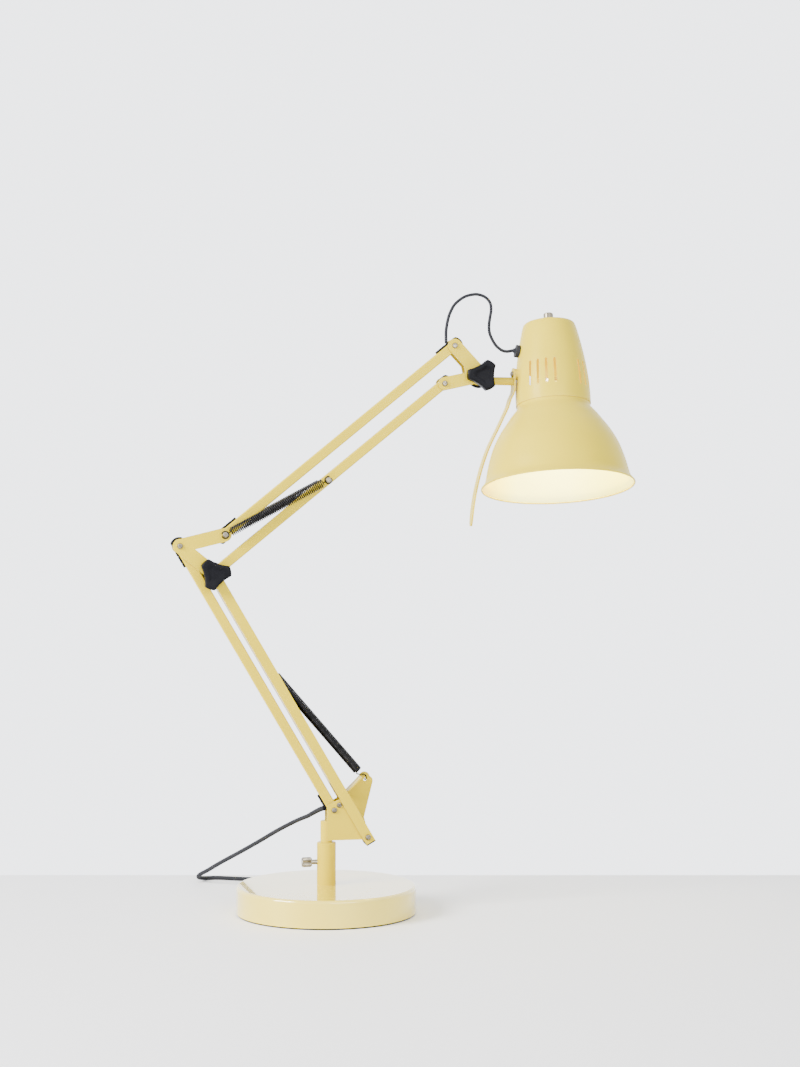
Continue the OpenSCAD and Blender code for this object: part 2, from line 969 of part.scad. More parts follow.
module upper_spring(side) {
    run = spring_post - elbow_2;
    reach = norm(run);
    color(black)
        translate([0, side * spring_y, 0])
            at_bar(elbow_2, atan2(run[1], run[0])) {
                spring_eye(0, 3.6, 0.8);
                spring_eye(reach, 3.6, 0.8);
                spring_body(4, reach - 4);
            }
}

module upper_spring_front() {
    upper_spring(-1);
}

module upper_spring_rear() {
    upper_spring(1);
}

// ---- head ----

module head_plate(side) {
    color(yellow)
        difference() {
            plate(
                min(side * plate_in, side * plate_out),
                max(side * plate_in, side * plate_out)) {
                bar_2d(head_4, head_k, plate_r);
                bar_2d(head_5, head_k, plate_r - 0.5);
                translate(head_k)
                    circle(r = 9);
                // fillet in the notch of the two legs
                polygon([
                    head_k + [-19, 12], head_k + [-17, 1], head_k + [-6, 0],
                    head_k + [-10, 10]
                ]);
            }
            along_y(head_4, pin_r, -20, 20);
            along_y(head_5, pin_r, -20, 20);
            along_y(head_k, bolt_r, -20, 20);
        }
}

module head_plate_front() {
    head_plate(-1);
}

module head_plate_rear() {
    head_plate(1);
}

module head_pins() {
    color(steel) {
        cross_screw(head_4, plate_out);
        cross_screw(head_5, plate_out);
    }
}

module head_bolt() {
    color(steel)
        joint_bolt(head_k, plate_out + 6, plate_out + 2);
}

module head_clamp_disc() {
    color(black)
        clamp_disc(head_k, plate_out);
}

module head_washers() {
    color(black) {
        washer_pair(head_4, pin_r, washer_y, plate_in);
        washer_pair(head_5, pin_r, washer_y, plate_in);
    }
}

module head_knob() {
    color(black)
        lobed_knob(head_k, 58, -plate_out - link_gap_y, bolt_r + turn_gap);
}

module head_lead(route) {
    color(black)
        swept_tube(smooth_path(route, 2), head_lead_d / 2, head_lead_d / 2, 8, [0, 1, 0]);
}

module head_lead_start() {
    head_lead(head_lead_a);
}

module head_lead_loop() {
    head_lead(head_lead_b);
}

module head_lead_end() {
    head_lead(head_lead_c);
}

module head_rod() {
    color(yellow)
        difference() {
            union() {
                along_y(head_k, hub_r, -plate_in + link_gap_y, plate_in - link_gap_y);
                along_x(head_k[0], tab_x, rod_z, rod_r);
            }
            along_y(head_k, bolt_r + turn_gap, -20, 20);
        }
}

// Strip of half width w, swept through the points of its route in the arm's plane
module aim_handle() {
    path = smooth_path(handle_route, 2);
    last = len(path) - 1;
    half_t = tab_t / 2;
    // the foot of the strip is rounded
    function half_w(i) =
        (handle_half_top + (handle_half_foot - handle_half_top) * min(1, 3 * i / last))
        * (i > last - 3 ? [1, 0.92, 0.72, 0.4][i - last + 3] : 1);
    points = [
        for (i = [0 : last])
            let (t = heading(path, i))
            let (s = [-t[1], t[0]])
            let (a = path[i] + half_t * s)
            let (b = path[i] - half_t * s)
            let (w = half_w(i))
            each [[a[0], w, a[1]], [a[0], -w, a[1]], [b[0], -w, b[1]], [b[0], w, b[1]]]
    ];
    color(yellow) {
        difference() {
            union() {
                along_x(tab_x, tab_x + tab_t, shade_z, tab_r);
                translate([tab_x, -tab_r, rod_z - 4])
                    cube([tab_t, 2 * tab_r, shade_z - rod_z + 4]);
                translate([tab_x, -handle_half_top, handle_route[0][1] - 0.6])
                    cube([tab_t, 2 * handle_half_top, rod_z - handle_route[0][1] - 1]);
            }
            along_x(tab_x - 5, tab_x + 5, shade_z, pin_r);
        }
        polyhedron(points = points, faces = skin_faces(last + 1, 4));
    }
}

module shade_pivot_bolt() {
    color(steel) {
        along_x(tab_x, pivot_nut_x + 4, shade_z, pin_r);
        translate([tab_x, 0, shade_z])
            rotate([0, -90, 0])
                pan_head(screw_head_r, 2.2);
        translate([pivot_nut_x, 0, shade_z])
            rotate([0, 90, 0])
                hexagon(3.6, 3);
    }
}

// ---- shade ----

// Frame of the shade: its axis along Z, with its side pivot at height 0
module in_shade() {
    translate([shade_x, 0, shade_z])
        rotate([-shade_roll, 0, 0])
            children();
}

function inset(line, w) = [for (p = line) [p[0] - w, p[1]]];

function reversed(line) = [for (i = [len(line) - 1 : -1 : 0]) line[i]];

module vent_slots() {
    straight = slot_len - slot_w;
    for (group = slot_groups)
        for (i = [-1.5 : 1 : 1.5])
            rotate([0, 0, group + i * slot_step])
                translate([30, 0, slot_t])
                    rotate([0, 90, 0])
                        linear_extrude(height = 12) {
                            square([straight, slot_w], center = true);
                            for (end = [-1, 1])
                                translate([end * straight / 2, 0])
                                    circle(r = slot_w / 2);
                        }
}

module shade_cap() {
    outer = smooth_path(cap_line, 2);
    color(yellow)
        in_shade()
            difference() {
                union() {
                    rotate_extrude()
                        polygon(concat(
                            [[0, cap_top]], outer,
                            reversed(inset(outer, shade_wall)),
                            [[cap_line[0][0] - shade_wall, cap_top - shade_wall]],
                            [[0, cap_top - shade_wall]]));
                    translate([boss_x - shade_x, 0, 0])
                        rotate([0, 90, 0])
                            cylinder(h = 4.2, r = boss_r);
                }
                vent_slots();
                cylinder(h = 80, r = nipple_r);
                rotate([0, 90, 0])
                    translate([0, 0, -60])
                        cylinder(h = 40, r = pin_r + turn_gap);
                translate([-grommet_wall_r, 0, grommet_t])
                    rotate([0, -90 + grommet_tilt, 0])
                        translate([0, 0, -8])
                            cylinder(h = 16, r = grommet_hole_r);
            }
}

module shade_dome() {
    line = smooth_path(dome_line, 2);
    bead_r = 0.9;
    rim = dome_line[len(dome_line) - 1];
    color(yellow)
        in_shade() {
            rotate_extrude()
                polygon(concat(
                    [[neck_r, neck_top]], line,
                    reversed(inset(line, shade_wall)),
                    [[neck_r - shade_wall, neck_top]]));
            rotate_extrude()
                translate([rim[0] - 0.8, rim[1] - 0.2])
                    circle(r = bead_r);
        }
}

module lead_grommet() {
    color(black)
        in_shade()
            translate([-grommet_wall_r, 0, grommet_t])
                rotate([0, -90 + grommet_tilt, 0])
                    union() {
                        translate([0, 0, -3.4])
                            cylinder(h = 4, r = grommet_hole_r);
                        translate([0, 0, 0.35])
                            cylinder(h = 3.6, r = 6.5);
                        translate([0, 0, 3.95])
                            cylinder(h = 2.4, r1 = 2.9, r2 = 2.3);
                    }
}

module top_nipple() {
    color(steel)
        in_shade()
            difference() {
                union() {
                    translate([0, 0, 38])
                        cylinder(h = nipple_top - 38 - 0.8, r = nipple_r);
                    translate([0, 0, nipple_top - 0.8])
                        cylinder(h = 0.8, r1 = nipple_r, r2 = nipple_r - 0.8);
                }
                translate([0, 0, 30])
                    cylinder(h = 40, r = 3.4);
            }
}

module top_nut() {
    color(steel)
        in_shade()
            difference() {
                translate([0, 0, cap_top])
                    cylinder(h = 4, r = 8, $fn = 6);
                cylinder(h = 90, r = nipple_r);
            }
}

module lampholder() {
    color(black)
        in_shade()
            difference() {
                union() {
                    translate([0, 0, 24])
                        cylinder(h = 28.6, r = 15);
                    translate([0, 0, 10])
                        cylinder(h = 14, r = 19);
                    translate([0, 0, -6])
                        cylinder(h = 16, r = 17.5);
                }
                translate([0, 0, -8])
                    cylinder(h = 29, r = bulb_cap_r);
                translate([0, 0, 38])
                    cylinder(h = 30, r = nipple_r);
            }
}

module bulb_base() {
    color(steel)
        in_shade()
            difference() {
                union() {
                    translate([0, 0, -10])
                        cylinder(h = 27, r = bulb_cap_r);
                    translate([0, 0, 17])
                        cylinder(h = 4, r1 = 11, r2 = 5);
                }
                translate([0, 0, -11])
                    cylinder(h = 6, r = bulb_neck_r);
            }
}

// Solid outline of the bulb, smaller all round by w
module bulb_form(w) {
    translate([0, 0, -10])
        cylinder(h = 5 - w, r = bulb_neck_r - w);
    translate([0, 0, -24])
        cylinder(h = 14, r1 = 20 - w, r2 = bulb_neck_r - w);
    translate([0, 0, -40])
        cylinder(h = 16, r1 = 26 - w, r2 = 20 - w);
    translate([0, 0, -54])
        sphere(r = 29.5 - w);
}

module bulb_glass() {
    color([1, 0.95, 0.85])
        in_shade()
            difference() {
                bulb_form(0);
                bulb_form(0.8);
            }
}

base_shell();
base_weight();
base_pad();
post_collar();
thumb_screw();
mains_lead();
mains_coil();
mains_tail();
mains_plug();
plug_pins();
post_spigot();
bracket_front();
bracket_rear();
bracket_screw();
lower_pins();
bracket_washers();
lower_tube();
lower_tube_caps();
lower_lead_strips();
lead_relief();
link_channel();
link_end_cap();
spring_anchor();
lower_spring();
elbow_plate_front();
elbow_plate_rear();
elbow_pins();
elbow_bolt();
elbow_clamp_disc();
elbow_washers();
elbow_knob();
upper_tube();
upper_tube_caps();
upper_lead_strips();
head_lead_start();
under_tube();
under_tube_caps();
spring_posts();
upper_spring_front();
upper_spring_rear();
head_plate_front();
head_plate_rear();
head_pins();
head_bolt();
head_clamp_disc();
head_washers();
head_lead_loop();
head_knob();
head_rod();
aim_handle();
shade_pivot_bolt();
head_lead_end();
shade_cap();
shade_dome();
lead_grommet();
top_nipple();
top_nut();
lampholder();
bulb_base();
bulb_glass();
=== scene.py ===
import json
import math

import bpy
from mathutils import Matrix, Vector

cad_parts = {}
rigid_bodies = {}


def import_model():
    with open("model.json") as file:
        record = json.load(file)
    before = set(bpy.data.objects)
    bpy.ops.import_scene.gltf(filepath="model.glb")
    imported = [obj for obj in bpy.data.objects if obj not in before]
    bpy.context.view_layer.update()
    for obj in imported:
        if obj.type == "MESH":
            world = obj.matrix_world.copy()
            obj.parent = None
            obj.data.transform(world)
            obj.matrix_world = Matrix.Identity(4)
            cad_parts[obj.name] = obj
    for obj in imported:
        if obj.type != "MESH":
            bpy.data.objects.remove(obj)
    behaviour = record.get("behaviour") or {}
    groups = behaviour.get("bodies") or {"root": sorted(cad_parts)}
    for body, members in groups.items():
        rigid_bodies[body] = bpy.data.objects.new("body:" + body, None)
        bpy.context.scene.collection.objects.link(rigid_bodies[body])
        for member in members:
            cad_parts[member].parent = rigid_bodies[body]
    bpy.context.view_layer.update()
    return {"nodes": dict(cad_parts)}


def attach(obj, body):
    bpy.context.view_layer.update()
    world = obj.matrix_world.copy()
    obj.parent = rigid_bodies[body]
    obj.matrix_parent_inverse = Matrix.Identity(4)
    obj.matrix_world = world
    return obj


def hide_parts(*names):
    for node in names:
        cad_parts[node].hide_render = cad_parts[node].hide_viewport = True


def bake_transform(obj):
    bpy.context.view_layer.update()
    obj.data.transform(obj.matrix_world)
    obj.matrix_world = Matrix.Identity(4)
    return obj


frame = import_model()
NODES = frame["nodes"]
MM = 0.001


# ---------------------------------------------------------------- camera

CAMERA_AT = (-0.3061, -1.9606, 0.379)
CAMERA_HEADING = math.radians(-11)
SENSOR_HEIGHT = 36
LENS = 66.9


def add_object(name, data):
    obj = bpy.data.objects.new(name, data)
    bpy.context.scene.collection.objects.link(obj)
    return obj


camera_data = bpy.data.cameras.new("camera")
camera_data.sensor_fit = "VERTICAL"
camera_data.sensor_height = SENSOR_HEIGHT
camera_data.lens = LENS
camera = add_object("camera", camera_data)
camera.location = CAMERA_AT
camera.rotation_euler = (math.radians(90), 0, CAMERA_HEADING)
bpy.context.scene.camera = camera


# ---------------------------------------------------------------- geometry


def add_mesh(name, verts, faces):
    """Smooth-shaded object from vertices and faces."""
    mesh = bpy.data.meshes.new(name)
    mesh.from_pydata([tuple(v) for v in verts], [], faces)
    mesh.update()
    for face in mesh.polygons:
        face.use_smooth = True
    return add_object(name, mesh)


def in_metres(points):
    return [Vector(p) * MM for p in points]


def spline(points, steps):
    """Smooth path through the points, with this many steps between neighbours."""
    path = []
    last = len(points) - 1
    for i in range(last):
        a = points[max(i - 1, 0)]
        b = points[i]
        c = points[i + 1]
        d = points[min(i + 2, last)]
        for j in range(steps):
            t = j / steps
            linear = (c - a) * t
            square = (2 * a - 5 * b + 4 * c - d) * t * t
            cube = (3 * b - a - 3 * c + d) * t * t * t
            path.append(0.5 * (2 * b + linear + square + cube))
    path.append(points[-1])
    return path


def tube(name, path, radius_at, sides):
    """Closed round tube; radius_at takes how far along the path's points it is, 0 to 1."""
    verts = []
    faces = []
    last = len(path) - 1
    heading = (path[1] - path[0]).normalized()
    side = heading.orthogonal().normalized()
    for i, p in enumerate(path):
        before = path[max(i - 1, 0)]
        after = path[min(i + 1, last)]
        new_heading = (after - before).normalized()
        side = heading.rotation_difference(new_heading) @ side
        heading = new_heading
        up = heading.cross(side)
        radius = radius_at(i / last)
        for k in range(sides):
            angle = 2 * math.pi * k / sides
            verts.append(p + radius * (math.cos(angle) * side + math.sin(angle) * up))
    for i in range(last):
        for k in range(sides):
            a = i * sides + k
            b = i * sides + (k + 1) % sides
            faces.append((a, b, b + sides, a + sides))
    faces.append(tuple(range(sides - 1, -1, -1)))
    faces.append(tuple(last * sides + k for k in range(sides)))
    return add_mesh(name, verts, faces)


def turned_section(name, outline, place, steps):
    """Revolves a closed outline of (radius, height) about the Z axis of place."""
    verts = []
    faces = []
    rows = len(outline)
    for s in range(steps):
        angle = 2 * math.pi * s / steps
        for radius, height in outline:
            spot = (radius * math.cos(angle), radius * math.sin(angle), height)
            verts.append(place @ Vector(spot))
    for s in range(steps):
        here = s * rows
        beside = (s + 1) % steps * rows
        for k in range(rows):
            m = (k + 1) % rows
            faces.append((here + k, beside + k, beside + m, here + m))
    return add_mesh(name, verts, faces)


# ---------------------------------------------------------------- leads

LEAD_D = 0.0044
RELIEF_R = 0.0027
GROOVE_DEPTH = 0.0003
RELIEF_GROOVES = 7
RELIEF_SIDES = 20
HEAD_LEAD_D = 0.0032
LEAD_SIDES = 14

RELIEF_ROUTE = in_metres(
    [(-2.5, -0.4, 104.6), (-6.2, 5.2, 102.4), (-10.8, 13.2, 98.4), (-15.5, 21.5, 94)]
)
LEAD_ROUTE = in_metres(
    [
        (-15.6, 21.7, 93.9), (-25, 38.4, 87), (-40.5, 66, 73.6), (-56.5, 94, 58.4),
        (-72.5, 122.5, 43.6), (-89, 151.8, 28.8), (-96.4, 164.1, 22), (-103.2, 175.4, 15.6),
        (-108, 183.2, 11.7), (-110.4, 190, 8.3), (-109.7, 197.2, 5.3), (-106.1, 203.5, 3.4),
        (-100.3, 207.7, 2.4), (-93.4, 209, 2.2), (-86.2, 207.3, 2.2), (-78, 203.6, 2.2),
        (-66, 198, 2.2), (-54, 192.4, 2.2), (-40, 186, 2.2), (-28, 179.6, 2.2),
        (-18, 173.4, 2.2), (-9, 168.8, 2.2), (0, 167.2, 2.2),
    ]
)
TAIL_ROUTE = in_metres([(32, 140, 6.6), (36, 134.3, 6.6), (40, 128.6, 6.7), (44, 122.9, 6.8)])
HEAD_ROUTE = in_metres(
    [
        (122.6, 0, 571.4), (122.4, 0, 578), (122.8, 0.4, 586), (125, 1, 597),
        (128, 1.6, 604.6), (132.4, 2.2, 611.7), (142.2, 3, 619.2),
        (154.2, 4, 622.2), (164, 5, 619.9), (169.6, 5.8, 614.2), (170.9, 6.4, 607.2),
        (169.9, 6.6, 600), (168.8, 6.6, 592.5), (169, 6.5, 585), (171.2, 6.2, 578.4),
        (175.6, 5.8, 571), (181.8, 5.5, 566), (187.6, 5.4, 564.8), (193.5, 5.3, 566),
    ]
)
HEAD_STEPS = 8
# Name, bodies, the route's points that it runs between, and the CAD pieces on it.
HEAD_LEADS = (
    ("head_lead_start", ("upper_tube", "head"), (0, 6), []),
    ("head_lead_loop", ("head", "head_arm"), (6, 11), []),
    ("head_lead_end", ("head_arm", "shade"), (11, 18), ["lead_grommet"]),
)

COIL_AT = Vector((0, 132, 0)) * MM
COIL_RINGS = (35.2, 30.8, 26.4, 22.0, 17.6)
COIL_LOW = 2.2
COIL_HIGH = 6.6
COIL_STEP = 12
TURNS_HIGH = 3
COIL_EXIT = 55
# Degrees of a turn over which the lead moves inwards, climbs, and moves outwards.
INWARDS = (300, 360)
CLIMB = (180, 240)
OUTWARDS = (110, 170)


def eased(angle, zone):
    """Smooth step from 0 to 1 across a zone of a turn."""
    t = min(1, max(0, (angle - zone[0]) / (zone[1] - zone[0])))
    return t * t * (3 - 2 * t)


def coil_path():
    """Five rings inwards on the table, then three outwards on top of them and the exit."""
    rings = len(COIL_RINGS)
    innermost = rings - 1
    path = []
    for along in range(COIL_STEP, (rings + TURNS_HIGH) * 360 + COIL_EXIT, COIL_STEP):
        turn, part = divmod(along, 360)
        height = COIL_LOW
        if turn < innermost:
            step_in = COIL_RINGS[turn + 1] - COIL_RINGS[turn]
            radius = COIL_RINGS[turn] + step_in * eased(part, INWARDS)
        elif turn == innermost:
            radius = COIL_RINGS[turn]
            height = COIL_LOW + (COIL_HIGH - COIL_LOW) * eased(part, CLIMB)
        else:
            up = turn - rings
            start = COIL_RINGS[innermost - up]
            end = COIL_RINGS[innermost - 1 - up]
            radius = start + (end - start) * eased(part, OUTWARDS)
            height = COIL_HIGH
        angle = math.radians(90 - along)
        spot = (radius * math.cos(angle), radius * math.sin(angle), height)
        path.append(COIL_AT + Vector(spot) * MM)
    return path


def relief_radius(t):
    """Tapers to the lead's radius, with grooves that fade out."""
    taper = RELIEF_R + (LEAD_D / 2 - RELIEF_R) * t
    wave = 0.5 + 0.5 * math.cos(2 * math.pi * RELIEF_GROOVES * t)
    return taper - GROOVE_DEPTH * (1 - t) * wave


lead_path = spline(LEAD_ROUTE, 5) + coil_path() + spline(TAIL_ROUTE, 3)
lead = tube("mains_lead_live", lead_path, lambda t: LEAD_D / 2, LEAD_SIDES)
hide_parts("mains_lead", "mains_coil", "mains_tail")
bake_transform(lead)

relief = tube("lead_relief_live", spline(RELIEF_ROUTE, 8), relief_radius, RELIEF_SIDES)
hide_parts("lead_relief")
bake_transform(relief)

head_path = spline(HEAD_ROUTE, HEAD_STEPS)
for name, bodies, (first, last), pieces_on_it in HEAD_LEADS:
    piece_path = head_path[first * HEAD_STEPS : last * HEAD_STEPS + 1]
    piece = tube(name + "_live", piece_path, lambda t: HEAD_LEAD_D / 2, LEAD_SIDES)
    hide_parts(name)
    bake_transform(piece)


# ---------------------------------------------------------------- shader nodes


def new_material(name):
    mat = bpy.data.materials.new(name)
    mat.use_nodes = True
    tree = mat.node_tree
    return mat, tree, tree.nodes["Principled BSDF"]


def grey(level):
    return (level, level, level)


def feed(tree, socket, value):
    """Links a socket to another node's output, or sets it to a number or a triple."""
    if hasattr(value, "is_linked"):
        tree.links.new(value, socket)
    elif isinstance(value, (int, float)):
        socket.default_value = value
    elif socket.type == "RGBA":
        socket.default_value = (*value, 1)
    else:
        socket.default_value = tuple(value)


def set_inputs(tree, shader, values):
    for socket, value in values.items():
        feed(tree, shader.inputs[socket], value)


def object_coords(tree):
    return tree.nodes.new("ShaderNodeTexCoord").outputs["Object"]


def noise(tree, scale, detail=3.0, roughness=0.5):
    node = tree.nodes.new("ShaderNodeTexNoise")
    values = {"Scale": scale, "Detail": detail, "Roughness": roughness}
    set_inputs(tree, node, values)
    tree.links.new(object_coords(tree), node.inputs["Vector"])
    return node.outputs["Fac"]


def ramp(tree, factor, stops):
    """Colour ramp with a stop for each (position, colour)."""
    node = tree.nodes.new("ShaderNodeValToRGB")
    element = node.color_ramp.elements
    while len(element) < len(stops):
        element.new(0.5)
    for k, (at, colour) in enumerate(stops):
        element[k].position = at
        element[k].color = (*colour, 1)
    tree.links.new(factor, node.inputs["Fac"])
    return node.outputs["Color"]


def mix_colour(tree, factor, a, b):
    node = tree.nodes.new("ShaderNodeMix")
    node.data_type = "RGBA"
    feed(tree, node.inputs[0], factor)
    feed(tree, node.inputs[6], a)
    feed(tree, node.inputs[7], b)
    return node.outputs[2]


def bump(tree, height, strength):
    node = tree.nodes.new("ShaderNodeBump")
    set_inputs(tree, node, {"Strength": strength, "Distance": 0.2 * MM, "Height": height})
    return node.outputs["Normal"]


def maths(tree, operation, a, b):
    node = tree.nodes.new("ShaderNodeMath")
    node.operation = operation
    feed(tree, node.inputs[0], a)
    feed(tree, node.inputs[1], b)
    return node.outputs[0]


def vector_maths(tree, operation, *values, output="Vector"):
    node = tree.nodes.new("ShaderNodeVectorMath")
    node.operation = operation
    for socket, value in zip(node.inputs, values):
        feed(tree, socket, value)
    return node.outputs[output]


def share_along(tree, axis, low, high):
    """0 to 1 between two places on one of the object's own axes."""
    split = tree.nodes.new("ShaderNodeSeparateXYZ")
    tree.links.new(object_coords(tree), split.inputs[0])
    node = tree.nodes.new("ShaderNodeMapRange")
    values = {"From Min": low, "From Max": high, "Value": split.outputs[axis]}
    set_inputs(tree, node, values)
    return node.outputs["Result"]


def edge_mask(tree, width):
    """Light where a surface turns sharply."""
    bevel = tree.nodes.new("ShaderNodeBevel")
    bevel.samples = 4
    bevel.inputs["Radius"].default_value = width
    geometry = tree.nodes.new("ShaderNodeNewGeometry")
    normals = bevel.outputs["Normal"], geometry.outputs["Normal"]
    flatness = vector_maths(tree, "DOT_PRODUCT", *normals, output="Value")
    return ramp(tree, flatness, [(0.80, grey(1)), (0.985, grey(0))])


# ---------------------------------------------------------------- materials

# Specular level, coat weight and coat roughness of the two enamels.
SATIN = (0.12, 0.04, 0.08)
GLOSSY = (0.6, 0.9, 0.03)
WEAR = 0.5
# From where to where the holder and the dome's mouth reach, in metres, for the painted glow and
# painted shade ramps across them.
HOLDER_Z = (0.520, 0.552)
MOUTH_X = (0.155, 0.311)
PLASTIC_SHINE = 0.05
PLASTIC_EDGE = 0.4
# Scale and strength of the fine bump.
MOULDED = (1500, 0.25)
DRAWN = (2600, 0.12)


def paint_material(name, base, deep, gloss, finish):
    """Sprayed enamel: soft mottling, orange-peel bump, paler worn edges."""
    mat, tree, shader = new_material(name)
    colour = ramp(tree, noise(tree, 28, detail=4), [(0.3, deep), (0.7, base)])
    speck = noise(tree, 420, detail=2)
    worn = ramp(tree, speck, [(0.42, grey(0)), (0.62, grey(WEAR))])
    masked = maths(tree, "MULTIPLY", edge_mask(tree, 0.9 * MM), worn)
    pale = tuple(min(1, 0.55 * c + 0.42) for c in base)
    cloud = noise(tree, 90)
    rough = ramp(tree, cloud, [(0.3, grey(gloss)), (0.75, grey(gloss + 0.10))])
    specular, coat, coat_roughness = finish
    look = {
        "Base Color": mix_colour(tree, masked, colour, pale),
        "Roughness": rough,
        "Normal": bump(tree, noise(tree, 900, detail=2), 0.10),
        "Specular IOR Level": specular,
        "Coat Weight": coat,
        "Coat Roughness": coat_roughness,
    }
    set_inputs(tree, shader, look)
    return mat


def plastic_material(name, dark, light, rough, grain):
    """Moulded plastic or rubber: cloudy tone, fine grain, paler edges."""
    mat, tree, shader = new_material(name)
    cloud = noise(tree, 60, detail=4)
    colour = ramp(tree, cloud, [(0.3, dark), (0.75, light)])
    rubbed = tuple(min(1, c * 2.6 + 0.01) for c in light)
    edges = maths(tree, "MULTIPLY", edge_mask(tree, 0.6 * MM), PLASTIC_EDGE)
    scale, strength = grain
    rougher = min(1, rough + 0.14)
    look = {
        "Base Color": mix_colour(tree, edges, colour, rubbed),
        "Normal": bump(tree, noise(tree, scale, detail=2), strength),
        "Roughness": ramp(tree, cloud, [(0.3, grey(rough)), (0.8, grey(rougher))]),
        "Specular IOR Level": PLASTIC_SHINE,
    }
    set_inputs(tree, shader, look)
    return mat


def metal_material(name, base, dark, rough, scratch=300):
    """Metal with a cloudy tone and fine scratches."""
    mat, tree, shader = new_material(name)
    cloud = noise(tree, 180, detail=5)
    look = {
        "Metallic": 1.0,
        "Base Color": ramp(tree, cloud, [(0.3, dark), (0.7, base)]),
        "Roughness": ramp(tree, cloud, [(0.3, grey(rough + 0.12)), (0.7, grey(rough))]),
        "Normal": bump(tree, noise(tree, scratch, detail=6, roughness=0.7), 0.12),
    }
    set_inputs(tree, shader, look)
    return mat


def lit_material():
    """Glass of the bulb that is on."""
    mat, tree, shader = new_material("lit_bulb")
    glow = ramp(tree, noise(tree, 20), [(0.3, (1.0, 0.88, 0.16)), (0.7, (1.0, 0.91, 0.20))])
    look = {
        "Base Color": glow,
        "Emission Color": glow,
        "Emission Strength": 2.0,
        "Roughness": 0.25,
    }
    set_inputs(tree, shader, look)
    return mat


def holder_material():
    """Holder painted to glow pale as if lit by the bulb, the painted glow deeper amber towards
    its top.
    """
    mat, tree, shader = new_material("lampholder_painted_glow")
    cloud = noise(tree, 45)
    height = share_along(tree, "Z", *HOLDER_Z)
    # Painted glow: emission stands in for the bulb's light, yellow low on the holder and deeper
    # amber at its top.
    look = {
        "Base Color": ramp(tree, cloud, [(0.3, (0.40, 0.26, 0.01)), (0.7, (0.46, 0.30, 0.01))]),
        "Normal": bump(tree, cloud, 0.1),
        "Emission Color": ramp(tree, height, [(0.0, (1.0, 0.84, 0.02)), (1.0, (1.0, 0.62, 0.0))]),
        "Emission Strength": 1.1,
        "Roughness": 0.4,
    }
    set_inputs(tree, shader, look)
    return mat


def inner_enamel():
    """Reflective white lining of the dome, painted to glow as if lit by the bulb, with painted
    shade making it amber at low X and yellower again at high X.
    """
    mat, tree, shader = new_material("white_lining_painted_glow")
    cloud = noise(tree, 35, detail=4)
    # Painted glow and painted shade across X: amber at low X, pale in the middle, yellower at
    # high X.
    tone = ramp(
        tree,
        share_along(tree, "X", *MOUTH_X),
        [
            (0.05, (0.90, 0.62, 0.05)), (0.20, (0.94, 0.82, 0.18)), (0.34, (0.95, 0.93, 0.46)),
            (0.70, (0.95, 0.94, 0.48)), (0.95, (0.93, 0.86, 0.22)),
        ],
    )
    look = {
        "Base Color": mix_colour(tree, 0.06, tone, (0.92, 0.88, 0.40)),
        "Emission Color": tone,
        "Emission Strength": 0.5,
        "Normal": bump(tree, noise(tree, 700, detail=2), 0.10),
        "Roughness": ramp(tree, cloud, [(0.3, grey(0.30)), (0.8, grey(0.42))]),
    }
    set_inputs(tree, shader, look)
    return mat


# One yellow enamel as three copies of differing lightness, painted light: the arms' copy is
# darker, and the shade's and the foot's are paler, each matched to how much light falls on them.
YELLOW = (0.61, 0.455, 0.010), (0.58, 0.43, 0.008)
LIT_SHADE_YELLOW = (0.655, 0.50, 0.022), (0.63, 0.48, 0.018)
LIT_FOOT_YELLOW = (0.78, 0.60, 0.045), (0.75, 0.575, 0.038)
BLACK = (0.004, 0.004, 0.005), (0.008, 0.008, 0.010)
KNOB_BLACK = (0.003, 0.003, 0.004), (0.007, 0.007, 0.009)
LEAD_BLACK = (0.018, 0.019, 0.022), (0.028, 0.029, 0.033)
PAD_BLACK = (0.004, 0.0035, 0.003), (0.010, 0.009, 0.008)

paint = paint_material("cream_yellow_enamel", *YELLOW, 0.30, SATIN)
shade_paint = paint_material("cream_yellow_shade", *LIT_SHADE_YELLOW, 0.34, SATIN)
dome_paint = paint_material("cream_yellow_dome", *LIT_SHADE_YELLOW, 0.34, SATIN)
base_paint = paint_material("cream_yellow_foot", *LIT_FOOT_YELLOW, 0.10, GLOSSY)
black_plastic = plastic_material("black_moulded", *BLACK, 0.42, MOULDED)
knob_plastic = plastic_material("black_knob", *KNOB_BLACK, 0.40, MOULDED)
rubber = plastic_material("black_lead", *LEAD_BLACK, 0.5, DRAWN)
pad_rubber = plastic_material("dark_pad", *PAD_BLACK, 0.85, MOULDED)
nickel = metal_material("nickel_plate", (0.27, 0.24, 0.18), (0.10, 0.085, 0.06), 0.20)
spring_steel = metal_material("black_spring_wire", (0.022, 0.021, 0.022), grey(0.010), 0.38)
cap_metal = metal_material("bulb_cap_metal", grey(0.80), grey(0.6), 0.3)
iron = metal_material("cast_ballast", grey(0.10), grey(0.05), 0.7, scratch=120)

